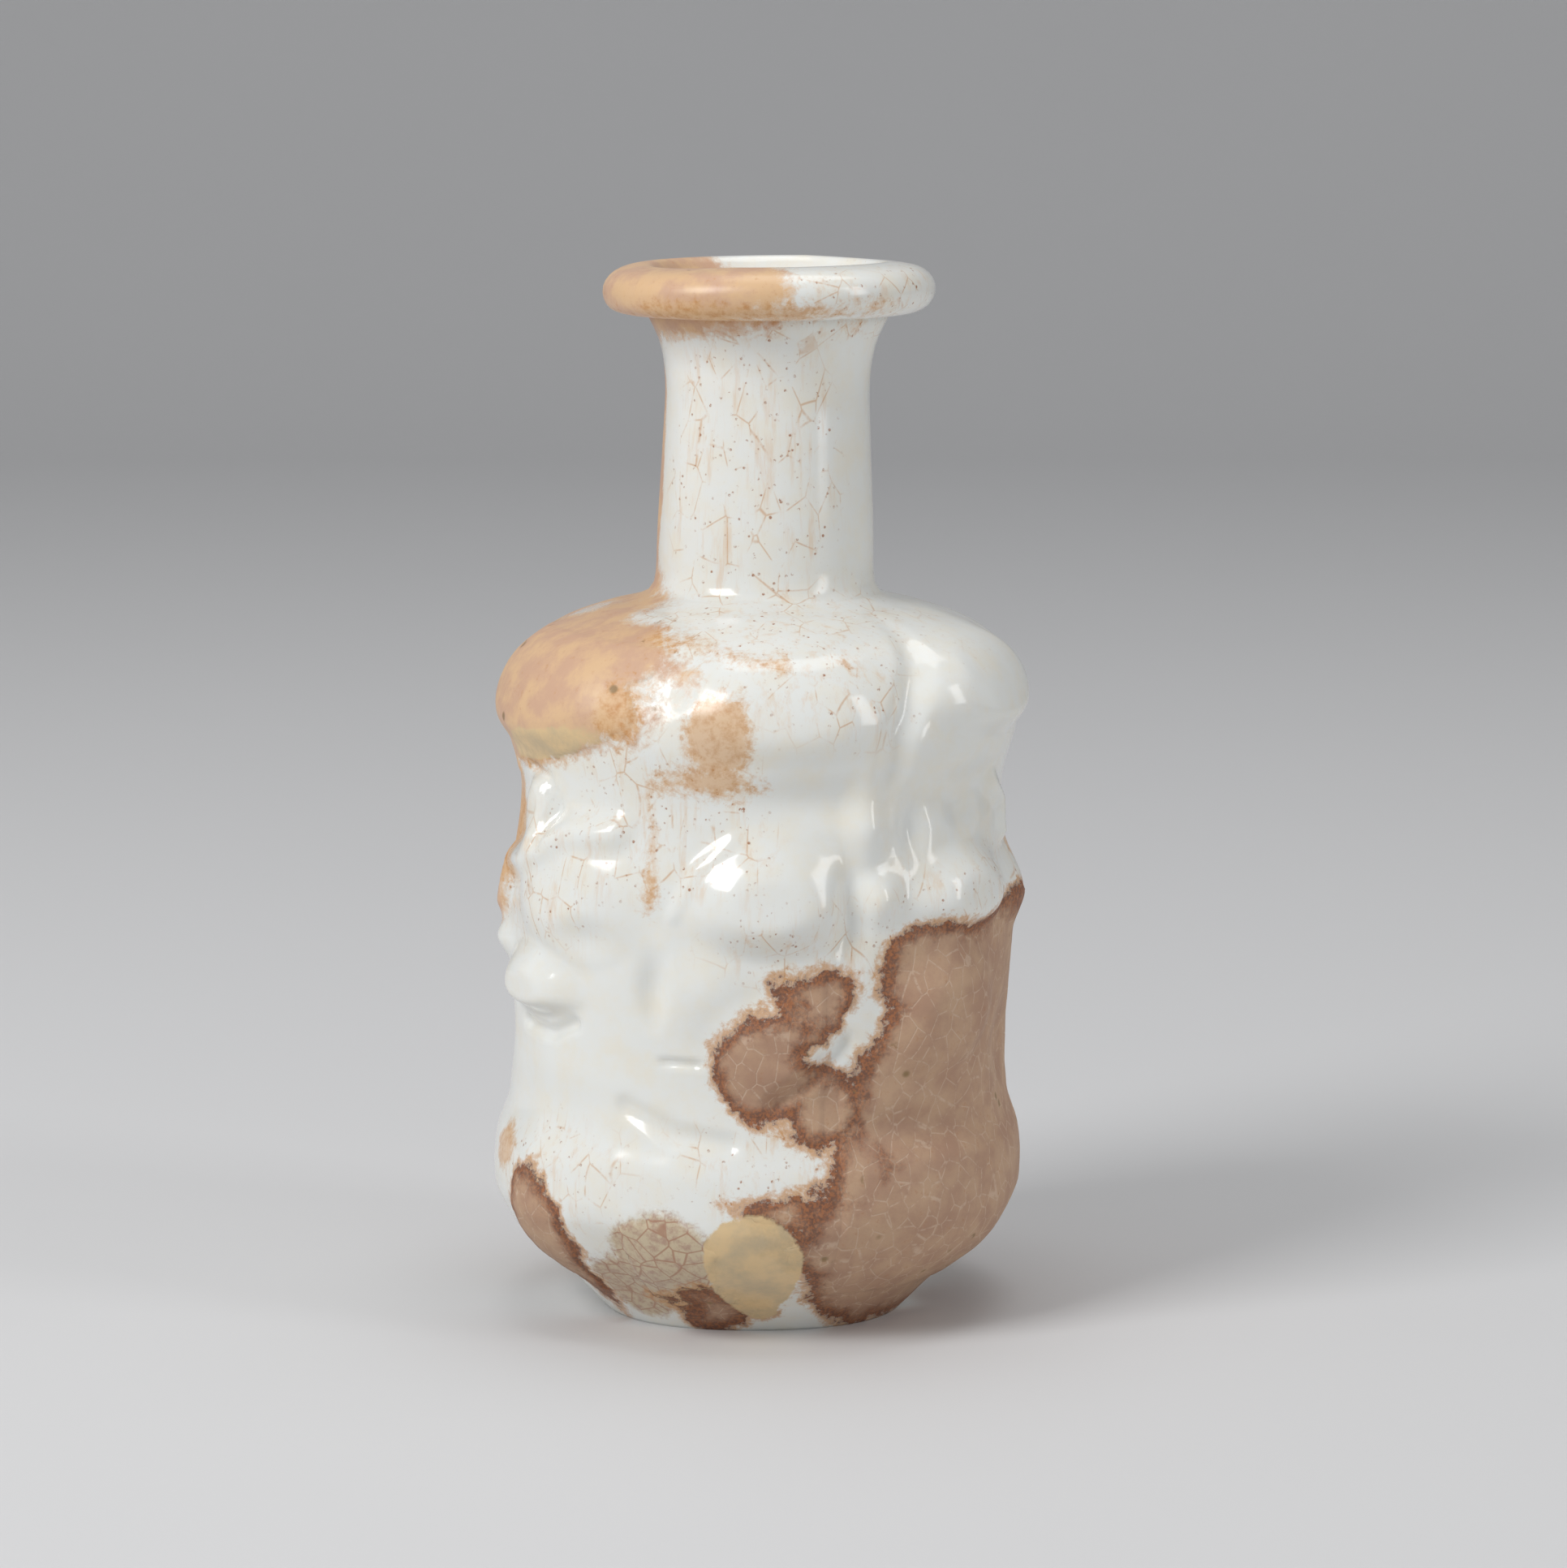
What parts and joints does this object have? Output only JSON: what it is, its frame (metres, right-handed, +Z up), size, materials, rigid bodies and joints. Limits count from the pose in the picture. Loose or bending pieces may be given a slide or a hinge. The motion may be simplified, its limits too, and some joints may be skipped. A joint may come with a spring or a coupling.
{
  "type": "mould-blown bottle",
  "caption": "Antique bottle of opaque white glass, blown into a relief mould, with a drawn neck, a folded rim and flaking brown weathering crust.",
  "frame": {"origin": "centre of the foot's box on the table, at the lowest point of the part", "axes": "+Z up along the bottle's height, -Y towards the side with the clearest relief, +X to the right of it"},
  "size_m": [0.0492, 0.0504, 0.096],
  "materials": {
    "white_glass": "glossy",
    "stained_rim_glass": "glossy",
    "weathering_crust": "matte"
  },
  "bodies": {
    "root": {"base_cup": "white_glass", "body_wall": "white_glass", "neck_tube": "white_glass", "rim_collar": "stained_rim_glass", "crust_shoulder_left": "weathering_crust", "crust_lower_right": "weathering_crust", "crust_middle": "weathering_crust", "crust_base_left": "weathering_crust", "crust_base_front": "weathering_crust"}
  },
  "joints": []
}
